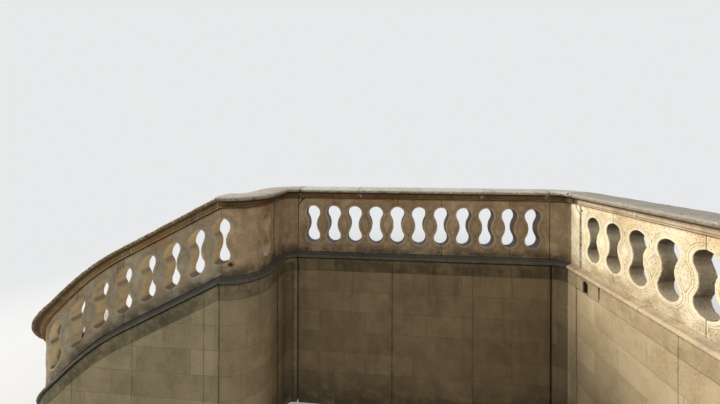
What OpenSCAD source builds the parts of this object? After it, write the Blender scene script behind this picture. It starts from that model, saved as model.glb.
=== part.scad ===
// Stone balustrade round the corner of a raised terrace, with a raking flight bay.
// Frame: the origin is under the middle bay's centre line at the lowest ground,
// +X runs along the middle bay, +Y points out of the terrace and +Z is up.
// The section is the same on both faces: wall, moulded ledge, pierced slabs, coping.

/* [Levels] */
// Height of the terrace above the ground at the foot of the flight
terrace_h = 1790; // [1500:10:1900]
// Height of the plain plinth above the terrace
plinth_h = 168; // [120:1:240]
// Height of the moulded ledge that the slabs stand on
ledge_h = 70; // [62:1:100]
// Height of the pierced slabs
panel_h = 726; // [690:1:820]
// Height of the coping
coping_h = 140; // [132:1:160]

/* [Widths of the section] */
// Thickness of the pierced slabs
panel_t = 140; // [110:1:160]
// Thickness of the plinth and of the wall below it
wall_t = 240; // [200:1:260]
// Width of the ledge over its rolls
ledge_w = 290; // [270:1:310]
// Width of the coping over its nosings
coping_w = 370; // [350:1:400]

/* [Mouldings] */
// Projection of the coping's fascia from the slab
fascia_out = 42; // [25:1:55]
// Height of the coping's fascia
fascia_h = 42; // [30:1:46]
// Height of the hollow under the coping's nosing
hollow_h = 38; // [22:1:42]
// Rise of the coping's crown above its nosings
crown_rise = 6; // [2:1:10]
// Height of the ledge's roll
roll_h = 40; // [30:1:48]
// Setback of the ledge's fillet behind its roll
fillet_in = 13; // [5:1:25]

/* [Openings] */
// Height of an hourglass opening
opening_h = 488; // [420:1:540]
// Width of the round ends of an opening
lobe_w = 183; // [150:1:200]
// Width of the neck of an opening
neck_w = 96; // [70:1:120]
// Height of an opening's foot above the ledge
sill_h = 127; // [80:1:140]
// Spacing of the openings in a level bay
pitch = 285; // [250:1:320]
// Distance from the last opening's centre to the end of its bay
end_margin = 205; // [150:1:260]

/* [Corners] */
// Radius of the hollow piers, on the centre line
pier_r = 260; // [230:1:320]
// Length of the straight part of the left pier
left_pier_straight = 190; // [100:1:300]
// Length of the straight part of the right pier
right_pier_straight = 85; // [60:1:300]
// Radius of the round corner at the head of the flight, on the centre line
corner_r = 260; // [215:1:300]
// Straight length between the round corner and the head of the flight
corner_tail = 45; // [30:1:200]
// How far the corner copings run onto the middle bay
coping_lap = 60; // [20:1:150]

/* [Flight] */
// Spacing of the openings along the flight, in plan
stair_pitch = 283; // [250:1:320]
// Straight length of the flight before its foot turns out, in plan
stair_straight = 1900; // [1840:1:1950]
// Radius of the turn at the foot of the flight, on the centre line
stair_bend_r = 500; // [450:1:700]
// How many times steeper the flight is at its last opening than at its head
foot_steepness = 2.4; // [1.6:0.02:2.6]
// Length over which the flight stays that steep after its last opening, in plan
foot_steep_l = 160; // [100:5:240]
// Height of the plinth that shows at the foot of the flight
foot_plinth_h = 62; // [40:1:120]
// Length of the short coping stone at the head of the flight, in plan
head_coping_l = 220; // [120:1:280]
// Length of a long coping stone on the flight, in plan
stair_coping_l = 805; // [700:1:820]

/* [End piers] */
// Width of an end pier's shaft
end_pier_w = 420; // [400:1:480]
// Height of the low pyramid on an end pier
pyramid_h = 45; // [20:1:90]

/* [Drain] */
// Width of the drain hole in the right wall
drain_w = 80; // [50:1:120]
// Height of the drain hole to its crown, above the terrace
drain_h = 130; // [100:1:140]
// Distance of the drain hole from the start of the right bay
drain_at = 153; // [120:1:230]
// Length of the plinth stone that the drain hole goes through
drain_stone_l = 360; // [320:1:500]

/* [Hidden] */
$fn = 96;

// Clear length of coping between a bay's end and the cap of its end pier
pier_gap = 10;

// Colours of the stone
panel_colour = [0.79, 0.68, 0.50];
coping_colour = [0.66, 0.63, 0.56];
ledge_colour = [0.52, 0.48, 0.40];
wall_colour = [0.62, 0.54, 0.40];

// Openings in a level bay, and those whose middle a slab joint passes through
bay_openings = 11;
bay_joints = [2, 5, 7, 10];
bay_copings = 4;
// Openings on the flight, with a slab joint through every second one
stair_openings = 9;
stair_panel_openings = 2;
stair_copings = 4;
// The opening at which the flight begins to steepen
steady_openings = 5;
// Steps of the curve: on the straight part, round to the last opening, and twice after it
steepening_steps = 6;
bend_steps = 6;
steep_steps = 3;
foot_steps = 5;

// Levels of the beds between the courses
ledge_z = terrace_h + plinth_h;
panel_z = ledge_z + ledge_h;
coping_z = panel_z + panel_h;
opening_z = panel_z + sill_h + opening_h / 2;

// Plan of the level bays and corners
bay_l = (bay_openings - 1) * pitch + 2 * end_margin;
bay_end = bay_l / 2;
pier_x = bay_end + pier_r;
left_joint_y = -pier_r - left_pier_straight;
right_joint_y = -pier_r - right_pier_straight;
corner_y = left_joint_y - end_margin;
corner_x = -pier_x - corner_r;
stair_y = corner_y - corner_r;
stair_x = corner_x - corner_tail;

// Plan of the flight
steady_s = (steady_openings - 1) * stair_pitch;
last_opening_s = (stair_openings - 1) * stair_pitch;
steep_end_s = last_opening_s + foot_steep_l;
stair_l = steep_end_s + end_margin;

// Steepness along the flight, where the head's is 1: steady at first, growing evenly to
// the last opening, steady again, then easing to level at the end pier
function steepness(s) =
    s <= steady_s ? 1
    : s <= last_opening_s
        ? 1 + (foot_steepness - 1) * (s - steady_s) / (last_opening_s - steady_s)
    : s <= steep_end_s ? foot_steepness
    : foot_steepness * (1 - (s - steep_end_s) / end_margin);

// Area under the steepness up to a place on the flight
function fallen(s) =
    s <= steady_s ? s
    : s <= last_opening_s ? steady_s + (1 + steepness(s)) / 2 * (s - steady_s)
    : s <= steep_end_s ? fallen(last_opening_s) + foot_steepness * (s - last_opening_s)
    : fallen(steep_end_s) + (foot_steepness + steepness(s)) / 2 * (s - steep_end_s);

rake = (ledge_z - foot_plinth_h) / fallen(stair_l);
function drop(s) = rake * fallen(s);
function slope_at(s) = rake * steepness(s);

// Shape of an opening: two round lobes joined by hollow curves to a neck
lobe_r = lobe_w / 2;
lobe_rise = opening_h / 2 - lobe_r;
neck_r = (pow(neck_w / 2, 2) + pow(lobe_rise, 2) - pow(lobe_r, 2)) / (lobe_w - neck_w);
neck_turn = atan2(lobe_rise, neck_w / 2 + neck_r);
lobe_steps = 20;
neck_steps = 8;

// Mouldings: sizes of their members, outwards from the faces they spring from
fascia_edge = 4;
nosing_h = coping_h - crown_rise - fascia_h - hollow_h;
roll_edge = 5;
fillet_h = 6;
drip_in = 2;
drip_h = 4;
curve_steps = 6;
nosing_steps = 10;

// Points of an arc about a centre, from one angle to another
function arc(centre, rx, ry, from, to, steps) =
    [for (i = [0 : steps]) let (a = from + (to - from) * i / steps)
        [centre[0] + rx * cos(a), centre[1] + ry * sin(a)]];

// A whole section from the half that lies on the +X side, listed from its foot up
function both_sides(half) =
    concat(half, [for (i = [len(half) - 1 : -1 : 0]) [-half[i][0], half[i][1]]]);

function raised(points, z) = [for (p = points) [p[0], p[1] + z]];
function raked(points, slope) = [for (p = points) [p[0], p[1] - slope * p[0]]];

// The foot of a moulding: its soffit stays just clear of the course below
function drip(bed_x, out_x, edge) = [
    [bed_x, 0], [bed_x + drip_in, drip_h], [out_x - edge, drip_h], [out_x, drip_h + edge]
];

// The coping: fascia, hollow and round nosing under a gently crowned top
nosing_r = nosing_h / 2;
nosing_x = coping_w / 2 - nosing_r;
fascia_x = panel_t / 2 + fascia_out;
coping_section = both_sides(concat(
    drip(panel_t / 2, fascia_x, fascia_edge),
    [[fascia_x, fascia_h - fascia_edge]],
    arc([nosing_x, fascia_h], nosing_x - fascia_x + fascia_edge, hollow_h, 180, 90, curve_steps),
    arc([nosing_x, fascia_h + hollow_h + nosing_r], nosing_r, nosing_r, -80, 90, nosing_steps),
    [[nosing_x / 2, coping_h]]
));

// The ledge: a square-edged roll, a fillet and a hollow sweep up to the slab's face
roll_x = ledge_w / 2;
fillet_x = roll_x - fillet_in;
ledge_section = both_sides(concat(
    drip(wall_t / 2, roll_x, roll_edge),
    [[roll_x, roll_h - roll_edge], [roll_x - roll_edge, roll_h], [fillet_x, roll_h]],
    arc([fillet_x, ledge_h], fillet_x - panel_t / 2, ledge_h - roll_h - fillet_h, 270, 180, curve_steps)
));

panel_section = both_sides([[panel_t / 2, 0], [panel_t / 2, panel_h]]);
wall_section = both_sides([[wall_t / 2, 0], [wall_t / 2, ledge_z]]);

// Outline of an opening about its own middle
opening_outline = concat(
    arc([0, lobe_rise], lobe_r, lobe_r, -neck_turn, 180 + neck_turn, lobe_steps),
    arc([-neck_w / 2 - neck_r, 0], neck_r, neck_r, neck_turn * (1 - 2 / neck_steps),
        -neck_turn * (1 - 2 / neck_steps), neck_steps - 2),
    arc([0, -lobe_rise], lobe_r, lobe_r, 180 - neck_turn, 360 + neck_turn, lobe_steps),
    arc([neck_w / 2 + neck_r, 0], neck_r, neck_r, 180 + neck_turn * (1 - 2 / neck_steps),
        180 - neck_turn * (1 - 2 / neck_steps), neck_steps - 2)
);

// Places along a level bay: its slab joints, and the centre of an opening
function opening_at(k) = end_margin + (k - 1) * pitch;
bay_stops = concat([0], [for (k = bay_joints) opening_at(k)], [bay_l]);
bay_centres = [for (k = [1 : bay_openings]) opening_at(k)];

// Places along the flight
stair_centres = [for (k = [0 : stair_openings - 1]) k * stair_pitch];
stair_panel_l = stair_panel_openings * stair_pitch;

// The stations that every piece of the flight shares
function steps(from, to, n) = [for (i = [1 : n]) from + (to - from) * i / n];
stair_stations = concat(
    [steady_s],
    steps(steady_s, stair_straight, steepening_steps),
    steps(stair_straight, last_opening_s, bend_steps),
    steps(last_opening_s, steep_end_s, steep_steps),
    steps(steep_end_s, stair_l, foot_steps)
);
function stations(from, to) =
    concat([from], [for (s = stair_stations) if (s > from + 0.01 && s < to - 0.01) s], [to]);

// Turn, place and height of the flight's centre line at a distance along it
function turn_at(s) = max(0, s - stair_straight) / stair_bend_r * 180 / PI;
function stair_point(s) = let (a = turn_at(s))
    [min(s, stair_straight) + stair_bend_r * sin(a), stair_bend_r * (cos(a) - 1)];

// One upright section of the flight, at a distance along it
function stair_ring(section, s) = let (a = turn_at(s), c = stair_point(s))
    [for (p = section) [c[0] + p[0] * sin(a), c[1] + p[0] * cos(a), p[1] - drop(s)]];
function wall_ring(s) = let (a = turn_at(s), c = stair_point(s), h = wall_t / 2)
    [for (p = [[h, 0], [h, ledge_z - drop(s)], [-h, ledge_z - drop(s)], [-h, 0]])
        [c[0] + p[0] * sin(a), c[1] + p[0] * cos(a), p[1]]];

// A closed solid through a row of like sections. The facets of its foot, from the last
// point of a section back to the first, slope as those of its top do, so courses meet.
module loft(rings) {
    n = len(rings[0]);
    last = len(rings) - 1;
    polyhedron(
        points = [for (ring = rings) each ring],
        faces = concat(
            [[for (i = [0 : n - 1]) i]],
            [[for (i = [n - 1 : -1 : 0]) last * n + i]],
            [for (k = [0 : last - 1], i = [0 : n - 2]) let (a = k * n + i)
                each [[a + 1, a, a + n], [a + 1, a + n, a + 1 + n]]],
            [for (k = [0 : last - 1]) let (a = k * n + n - 1, b = k * n)
                each [[b, a, b + n], [a, a + n, b + n]]]
        )
    );
}

// A section drawn out along +X from one place to another
module straight(section, from, to) {
    translate([from, 0, 0]) rotate([90, 0, 90]) linear_extrude(to - from) polygon(section);
}

// A section drawn out down the steady rake at the head, between two upright cuts
module raking(section, from, to) {
    slope = atan(rake);
    height = max([for (p = section) p[1]]);
    squared_to_rake = [for (p = section) [p[0], p[1] * cos(slope)]];
    intersection() {
        rotate([0, slope, 0])
            straight(squared_to_rake, from - height, (to + height) / cos(slope));
        translate([from, -coping_w, -rake * to - height])
            cube([to - from, 2 * coping_w, rake * (to - from) + 3 * height]);
    }
}

// A section that follows the flight, on its steady rake or over the curve below it
module stair_run(section, bed_z, from, to) {
    translate([0, 0, bed_z])
        if (to > steady_s) loft([for (s = stations(from, to)) stair_ring(section, s)]);
        else raking(section, from, to);
}

// A section turned through a quarter circle about the local Z axis, from +X to +Y
module quarter(section, radius) {
    rotate_extrude(angle = 90) translate([radius, 0]) polygon(section);
}

// Frames of the bays: local +X runs along the bay from its first joint
module in_middle_bay() { translate([-bay_end, 0, 0]) children(); }
module in_right_bay() { translate([pier_x, right_joint_y, 0]) rotate([0, 0, -90]) children(); }
module in_flight() { translate([stair_x, stair_y, 0]) rotate([0, 0, 180]) children(); }

// A prism through a wall that runs along X, in the shape of one opening
module opening_prism(outline) {
    translate([0, wall_t / 2, 0]) rotate([90, 0, 0]) linear_extrude(wall_t) polygon(outline);
}

module opening_cut(at) { translate([at, 0, opening_z]) opening_prism(opening_outline); }

// One pierced slab of a level bay
module bay_panel(i) {
    from = bay_stops[i - 1];
    to = bay_stops[i];
    color(panel_colour) difference() {
        straight(raised(panel_section, panel_z), from, to);
        for (at = bay_centres) if (at > from - 1 && at < to + 1) opening_cut(at);
    }
}

// One pierced slab of the flight, whose openings lean with its slope
module stair_panel(i) {
    from = (i - 1) * stair_panel_l;
    to = min(i * stair_panel_l, stair_l);
    color(panel_colour) in_flight() difference() {
        stair_run(panel_section, panel_z, from, to);
        for (at = stair_centres) if (at > from - 1 && at < to + 1) stair_opening_cut(at);
    }
}

module stair_opening_cut(at) {
    c = stair_point(at);
    translate([c[0], c[1], opening_z - drop(at)]) rotate([0, 0, -turn_at(at)])
        opening_prism(raked(opening_outline, slope_at(at)));
}

module stair_coping(i) {
    from = i == 1 ? 0 : head_coping_l + (i - 2) * stair_coping_l;
    to = i == stair_copings ? stair_l : head_coping_l + (i - 1) * stair_coping_l;
    color(coping_colour) in_flight() stair_run(coping_section, coping_z, from, to);
}

// The hollow left pier: a quarter turn, then a straight part down to the corner block
module left_pier_run(section) {
    translate([-bay_end, -pier_r, 0]) rotate([0, 0, 90]) quarter(section, pier_r);
    translate([-pier_x, 0, 0]) rotate([0, 0, -90]) straight(section, pier_r, -left_joint_y);
}

// The round corner at the head of the flight, between the left pier and the first riser
module left_corner_run(section) {
    translate([-pier_x, 0, 0]) rotate([0, 0, -90]) straight(section, -left_joint_y, -corner_y);
    translate([corner_x, corner_y, 0]) rotate([0, 0, -90]) quarter(section, corner_r);
    translate([corner_x, stair_y, 0]) rotate([0, 0, 180]) straight(section, 0, corner_tail);
}

// The hollow right pier: a quarter turn and a straight part up to the right bay
module right_pier_run(section) {
    translate([bay_end, -pier_r, 0]) quarter(section, pier_r);
    translate([pier_x, 0, 0]) rotate([0, 0, -90]) straight(section, pier_r, -right_joint_y);
}

module left_corner_block() {
    color(panel_colour) difference() {
        left_corner_run(raised(panel_section, panel_z));
        translate([-pier_x, corner_y, 0]) rotate([0, 0, 90]) opening_cut(0);
        translate([stair_x, stair_y, 0]) opening_cut(0);
    }
}

module left_pier() { color(panel_colour) left_pier_run(raised(panel_section, panel_z)); }
module right_pier() { color(panel_colour) right_pier_run(raised(panel_section, panel_z)); }

module bay_coping(from, to) { straight(raised(coping_section, coping_z), from, to); }

module middle_coping(i) {
    stone_l = (bay_l - 2 * coping_lap) / bay_copings;
    color(coping_colour) in_middle_bay()
        bay_coping(coping_lap + (i - 1) * stone_l, coping_lap + i * stone_l);
}

module right_coping(i) {
    stone_l = bay_l / bay_copings;
    color(coping_colour) in_right_bay() bay_coping((i - 1) * stone_l, i * stone_l);
}

module right_pier_coping() {
    color(coping_colour) {
        right_pier_run(raised(coping_section, coping_z));
        in_middle_bay() bay_coping(bay_l - coping_lap, bay_l);
    }
}

// The coping round the left pier and the corner, up to the head of the flight
module left_corner_coping() {
    color(coping_colour) {
        in_middle_bay() bay_coping(0, coping_lap);
        left_pier_run(raised(coping_section, coping_z));
        left_corner_run(raised(coping_section, coping_z));
    }
}

module middle_ledge() {
    color(ledge_colour) in_middle_bay() straight(raised(ledge_section, ledge_z), 0, bay_l);
}

module right_ledge() {
    color(ledge_colour) in_right_bay() straight(raised(ledge_section, ledge_z), 0, bay_l);
}

module stair_ledge() {
    color(ledge_colour) in_flight() stair_run(ledge_section, ledge_z, 0, stair_l);
}

module left_corner_ledge() {
    color(ledge_colour) {
        left_pier_run(raised(ledge_section, ledge_z));
        left_corner_run(raised(ledge_section, ledge_z));
    }
}

module right_corner_ledge() { color(ledge_colour) right_pier_run(raised(ledge_section, ledge_z)); }

module middle_wall() { color(wall_colour) in_middle_bay() straight(wall_section, 0, bay_l); }

// The wall under the right bay, with a seat in its plinth for the drain stone
module right_wall() {
    color(wall_colour) in_right_bay() difference() {
        straight(wall_section, 0, bay_l);
        translate([-wall_t, -wall_t, terrace_h])
            cube([wall_t + drain_stone_l, 2 * wall_t, 2 * plinth_h]);
    }
}

// The plinth stone over the arched drain hole, which opens at the terrace
module drain_stone() {
    drain_r = drain_w / 2;
    reach = wall_t * 2;
    h = wall_t / 2;
    color(wall_colour) in_right_bay() difference() {
        straight([[h, terrace_h], [h, ledge_z], [-h, ledge_z], [-h, terrace_h]], 0, drain_stone_l);
        translate([drain_at, reach / 2, terrace_h]) rotate([90, 0, 0]) linear_extrude(reach)
            polygon(concat([[-drain_r, -plinth_h], [drain_r, -plinth_h]],
                arc([0, drain_h - drain_r], drain_r, drain_r, 0, 180, curve_steps * 2)));
    }
}

module stair_wall() { color(wall_colour) in_flight() loft([for (s = stations(0, stair_l)) wall_ring(s)]); }

module left_corner_wall() {
    color(wall_colour) {
        left_pier_run(wall_section);
        left_corner_run(wall_section);
    }
}

module right_corner_wall() { color(wall_colour) right_pier_run(wall_section); }

// A section that stands on a square: the same on all four sides, mitred at the corners
module squared(section, reach) {
    intersection() {
        straight(section, -reach, reach);
        rotate([0, 0, 90]) straight(section, -reach, reach);
    }
}

// Widens a section by the same amount on each side
function widened(section, by) = [for (p = section) [p[0] + (p[0] > 0 ? by : -by), p[1]]];

// An end pier with the bay's own mouldings round it, and the stub that joins it to its bay.
// The bay ends at the local Y axis, where its ledge lies at ledge_at.
module end_pier(ledge_at) {
    by = (end_pier_w - panel_t) / 2;
    centre = coping_w / 2 + by + pier_gap;
    courses = [
        both_sides([[wall_t / 2, 0], [wall_t / 2, ledge_at]]),
        raised(ledge_section, ledge_at),
        raised(panel_section, ledge_at + ledge_h),
        raised(coping_section, ledge_at + ledge_h + panel_h)
    ];
    roof_w = 2 * (nosing_x + by);
    for (course = courses) {
        straight(course, 0, centre);
        translate([centre, 0, 0]) squared(widened(course, by), centre);
    }
    translate([centre, 0, ledge_at + ledge_h + panel_h + coping_h - crown_rise]) rotate([0, 0, 45])
        cylinder(d1 = roof_w * sqrt(2), d2 = 0, h = pyramid_h, $fn = 4);
}

module stair_end_pier() {
    c = stair_point(stair_l);
    color(panel_colour) in_flight() translate([c[0], c[1], 0]) rotate([0, 0, -turn_at(stair_l)])
        end_pier(foot_plinth_h);
}

module right_end_pier() {
    color(panel_colour) in_right_bay() translate([bay_l, 0, 0]) end_pier(ledge_z);
}

in_middle_bay() bay_panel(1);  // middle_panel_1
in_middle_bay() bay_panel(2);  // middle_panel_2
in_middle_bay() bay_panel(3);  // middle_panel_3
in_middle_bay() bay_panel(4);  // middle_panel_4
in_middle_bay() bay_panel(5);  // middle_panel_5
in_right_bay() bay_panel(1);  // right_panel_1
in_right_bay() bay_panel(2);  // right_panel_2
in_right_bay() bay_panel(3);  // right_panel_3
in_right_bay() bay_panel(4);  // right_panel_4
in_right_bay() bay_panel(5);  // right_panel_5
stair_panel(1);  // stair_panel_1
stair_panel(2);  // stair_panel_2
stair_panel(3);  // stair_panel_3
stair_panel(4);  // stair_panel_4
stair_panel(5);  // stair_panel_5
left_corner_block();
left_pier();
right_pier();
stair_end_pier();
right_end_pier();
middle_coping(1);  // middle_coping_1
middle_coping(2);  // middle_coping_2
middle_coping(3);  // middle_coping_3
middle_coping(4);  // middle_coping_4
right_coping(1);  // right_coping_1
right_coping(2);  // right_coping_2
right_coping(3);  // right_coping_3
right_coping(4);  // right_coping_4
stair_coping(1);  // stair_coping_1
stair_coping(2);  // stair_coping_2
stair_coping(3);  // stair_coping_3
stair_coping(4);  // stair_coping_4
left_corner_coping();
right_pier_coping();
middle_ledge();
right_ledge();
stair_ledge();
left_corner_ledge();
right_corner_ledge();
middle_wall();
right_wall();
stair_wall();
left_corner_wall();
right_corner_wall();
drain_stone();
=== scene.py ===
"""A stone balustrade round a terrace corner, its stones worn and dressed as weathered sandstone."""

import logging
import math
from dataclasses import dataclass
from enum import Enum
from typing import Callable, Optional, Sequence, Union

import bpy
import numpy as np
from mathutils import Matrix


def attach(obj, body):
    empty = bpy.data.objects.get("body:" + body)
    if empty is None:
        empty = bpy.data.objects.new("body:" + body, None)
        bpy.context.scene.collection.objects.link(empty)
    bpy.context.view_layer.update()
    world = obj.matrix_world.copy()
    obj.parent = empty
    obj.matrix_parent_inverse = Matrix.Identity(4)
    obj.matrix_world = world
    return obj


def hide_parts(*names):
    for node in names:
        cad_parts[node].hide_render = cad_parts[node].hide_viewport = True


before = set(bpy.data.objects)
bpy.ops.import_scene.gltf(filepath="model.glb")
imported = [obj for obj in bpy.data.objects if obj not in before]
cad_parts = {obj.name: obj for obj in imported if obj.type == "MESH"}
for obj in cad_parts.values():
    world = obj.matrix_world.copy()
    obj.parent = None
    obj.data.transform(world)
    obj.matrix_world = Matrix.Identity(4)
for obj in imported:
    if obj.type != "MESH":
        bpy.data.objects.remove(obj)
log = logging.getLogger("balustrade")

Colour = tuple[float, float, float, float]
Paint = tuple[int, int, int]
Place = tuple[float, float, float]


def tone(paint: Paint) -> Colour:
    """Turns a colour as displayed, of 0 to 255, into the linear colour that a shader takes.

    Args:
        paint: Its red, green and blue.

    Returns:
        The linear colour with an alpha of 1.
    """
    parts = (part / 255 for part in paint)
    return (*(part / 12.92 if part <= 0.04045 else ((part + 0.055) / 1.055) ** 2.4 for part in parts), 1.0)


# Sizes and runs


@dataclass(frozen=True)
class Sizes:
    """Sizes of the balustrade in metres, with the levels counted from the terrace."""

    terrace: float = 1.79
    ledge_bed: float = 0.168
    panel_bed: float = 0.238
    coping_bed: float = 0.964
    slab: float = 0.14
    coping: float = 0.37
    opening_h: float = 0.488
    lobe_w: float = 0.183
    neck_w: float = 0.096
    opening_level: float = 0.609
    pitch: float = 0.285
    margin: float = 0.205
    bay: float = 3.26
    pier_r: float = 0.26
    left_straight: float = 0.19
    right_straight: float = 0.085
    corner_r: float = 0.26
    tail: float = 0.045
    stair_pitch: float = 0.283
    stair_straight: float = 1.9
    stair_bend_r: float = 0.5
    steepness: float = 2.4
    steep: float = 0.16
    foot_plinth: float = 0.062
    end_pier: float = 0.42
    end_gap: float = 0.01

    @property
    def flight(self) -> float:
        """Length of the flight in plan."""
        return 8 * self.stair_pitch + self.steep + self.margin

    @property
    def pier_arc(self) -> float:
        """Length of the quarter turn of a pier."""
        return math.pi / 2 * self.pier_r

    @property
    def corner_arc(self) -> float:
        """Length of the quarter turn at the head of the flight."""
        return math.pi / 2 * self.corner_r

    @property
    def pier_x(self) -> float:
        """Distance of the right bay's centre line from the middle."""
        return self.bay / 2 + self.pier_r

    @property
    def right_y(self) -> float:
        """Where the right bay starts."""
        return -self.pier_r - self.right_straight

    @property
    def corner_y(self) -> float:
        """Where the round corner starts."""
        return -self.pier_r - self.left_straight - self.margin

    @property
    def stair_start(self) -> tuple[float, float]:
        """Plan of the head of the flight."""
        return (-self.pier_x - self.corner_r - self.tail, self.corner_y - self.corner_r)

    def _fallen(self, along: np.ndarray) -> np.ndarray:
        """Adds up the steepness of the flight.

        Args:
            along: Distances from the head of the flight, in metres.

        Returns:
            The area under the steepness up to each of them.
        """
        steady, last = 4 * self.stair_pitch, 8 * self.stair_pitch
        grow = np.clip(along - steady, 0.0, last - steady)
        hold = np.clip(along - last, 0.0, self.steep)
        ease = np.clip(along - last - self.steep, 0.0, self.margin)
        extra = (self.steepness - 1) * grow ** 2 / (2 * (last - steady))
        end = self.steepness * (hold + ease - ease ** 2 / (2 * self.margin))
        return np.clip(along, 0.0, last) + extra + end

    def drop(self, along: np.ndarray) -> np.ndarray:
        """How far the courses have dropped at each place along the flight.

        Args:
            along: Distances from the head of the flight, in metres.

        Returns:
            The drops, in metres.
        """
        rake = (self.terrace + self.ledge_bed - self.foot_plinth) / self._fallen(np.array([self.flight]))[0]
        return rake * self._fallen(np.asarray(along, float))


SIZES = Sizes()


@dataclass(frozen=True)
class Stretch:
    """A straight or round stretch of a run's centre line; a positive radius turns left."""

    start: tuple[float, float]
    heading: float
    length: float
    radius: float = 0.0

    def end(self) -> tuple[tuple[float, float], float]:
        """The plan point and the heading at the end of the stretch."""
        turned = self.length / self.radius if self.radius else 0.0
        return self.place(self.length, 0.0), self.heading + turned

    def locate(self, x: np.ndarray, y: np.ndarray) -> tuple[np.ndarray, np.ndarray, np.ndarray]:
        """Places points along and beside the stretch.

        Args:
            x: Plan x of the points.
            y: Plan y of the points.

        Returns:
            Distance along, distance to the left, and how far each point misses the stretch.
        """
        if not self.radius:
            dx, dy = x - self.start[0], y - self.start[1]
            along = dx * math.cos(self.heading) + dy * math.sin(self.heading)
            left = dy * math.cos(self.heading) - dx * math.sin(self.heading)
        else:
            turn = math.copysign(1.0, self.radius)
            cx = self.start[0] - self.radius * math.sin(self.heading)
            cy = self.start[1] + self.radius * math.cos(self.heading)
            first = math.atan2(self.start[1] - cy, self.start[0] - cx)
            angle = (np.arctan2(y - cy, x - cx) - first) * turn
            middle = self.length / abs(self.radius) / 2
            angle = (angle - middle + math.pi) % (2 * math.pi) - math.pi + middle
            along = angle * abs(self.radius)
            left = self.radius - turn * np.hypot(x - cx, y - cy)
        past = np.maximum(0.0, np.maximum(-along, along - self.length))
        return along, left, np.hypot(past, left)

    def place(self, along: float, left: float) -> tuple[float, float]:
        """Places a point beside the stretch.

        Args:
            along: Its distance along the stretch.
            left: Its distance to the left.

        Returns:
            The plan point.
        """
        x, y = self.start
        sine, cosine = math.sin(self.heading), math.cos(self.heading)
        if not self.radius:
            return (x + along * cosine - left * sine, y + along * sine + left * cosine)
        heading = self.heading + along / self.radius
        inner = self.radius - left
        return (x - self.radius * sine + inner * math.sin(heading),
                y + self.radius * cosine - inner * math.cos(heading))


class Run:
    """The centre line of a course, made of stretches laid end to end."""

    TIE = 1e-6

    def __init__(self, start: tuple[float, float], heading: float, parts: Sequence[tuple[float, float]],
                 fall: Optional[Callable[[np.ndarray], np.ndarray]] = None, foot: float = 0.0) -> None:
        """Lays the stretches out.

        Args:
            start: Plan point where the run starts.
            heading: First heading in degrees.
            parts: Length and radius of each stretch, with a radius of 0 for a straight one.
            fall: Drop of the courses at each distance along, if the run isn't level.
            foot: How far the whole run lies below the terrace's own level.
        """
        self.stretches: list[Stretch] = []
        self.fall = fall
        self.foot = foot
        place, turned = start, math.radians(heading)
        for length, radius in parts:
            stretch = Stretch(place, turned, length, radius)
            self.stretches.append(stretch)
            place, turned = stretch.end()
        self.last = place
        self.last_heading = math.degrees(turned)

    def locate(self, points: np.ndarray) -> np.ndarray:
        """Gives each point its place on the run.

        Args:
            points: Points in the row frame, one in each line.

        Returns:
            For each point its distance along, its distance to the left and its level above the terrace.
        """
        x, y, z = points.T
        best = np.full(len(points), np.inf)
        along, left = np.zeros(len(points)), np.zeros(len(points))
        before = 0.0
        for stretch in self.stretches:
            here, aside, miss = stretch.locate(x, y)
            closer = miss < best - self.TIE
            best[closer] = miss[closer]
            along[closer] = here[closer] + before
            left[closer] = aside[closer]
            before += stretch.length
        level = z - SIZES.terrace + self.foot
        if self.fall is not None:
            level = level + self.fall(along)
        return np.stack([along, left, level], axis=1)

    def place(self, along: float, left: float, level: float) -> Place:
        """The point at a place on the run.

        Args:
            along: Distance along the run.
            left: Distance to its left.
            level: Level above the terrace.

        Returns:
            The point in the row frame.
        """
        fall = 0.0 if self.fall is None else float(self.fall(np.array(along)))
        z = level + SIZES.terrace - self.foot - fall
        rest = along
        for stretch in self.stretches:
            if rest <= stretch.length or stretch is self.stretches[-1]:
                return (*stretch.place(rest, left), z)
            rest -= stretch.length
        raise ValueError("a run needs a stretch")


# How far a corner's run starts before the end of the middle bay, and how long an end pier's run is
LAP = 0.2
END_LENGTH = 0.7
MIDDLE = Run((-SIZES.bay / 2, 0.0), 0.0, [(SIZES.bay, 0.0)])
RIGHT = Run((SIZES.pier_x, SIZES.right_y), -90.0, [(SIZES.bay, 0.0)])
RIGHT_END = Run((SIZES.pier_x, SIZES.right_y - SIZES.bay), -90.0, [(END_LENGTH, 0.0)])
LEFT_CORNER = Run((-SIZES.bay / 2 + LAP, 0.0), 180.0, [
    (LAP, 0.0), (SIZES.pier_arc, SIZES.pier_r), (SIZES.left_straight + SIZES.margin, 0.0),
    (SIZES.corner_arc, -SIZES.corner_r), (SIZES.tail, 0.0)])
RIGHT_CORNER = Run((SIZES.bay / 2 - LAP, 0.0), 0.0, [
    (LAP, 0.0), (SIZES.pier_arc, -SIZES.pier_r), (SIZES.right_straight, 0.0)])
FLIGHT = Run(SIZES.stair_start, 180.0, [
    (SIZES.stair_straight, 0.0), (SIZES.flight - SIZES.stair_straight, -SIZES.stair_bend_r)], fall=SIZES.drop)
FLIGHT_END = Run(FLIGHT.last, FLIGHT.last_heading, [(END_LENGTH, 0.0)],
                 foot=SIZES.terrace + SIZES.ledge_bed - SIZES.foot_plinth)


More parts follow.
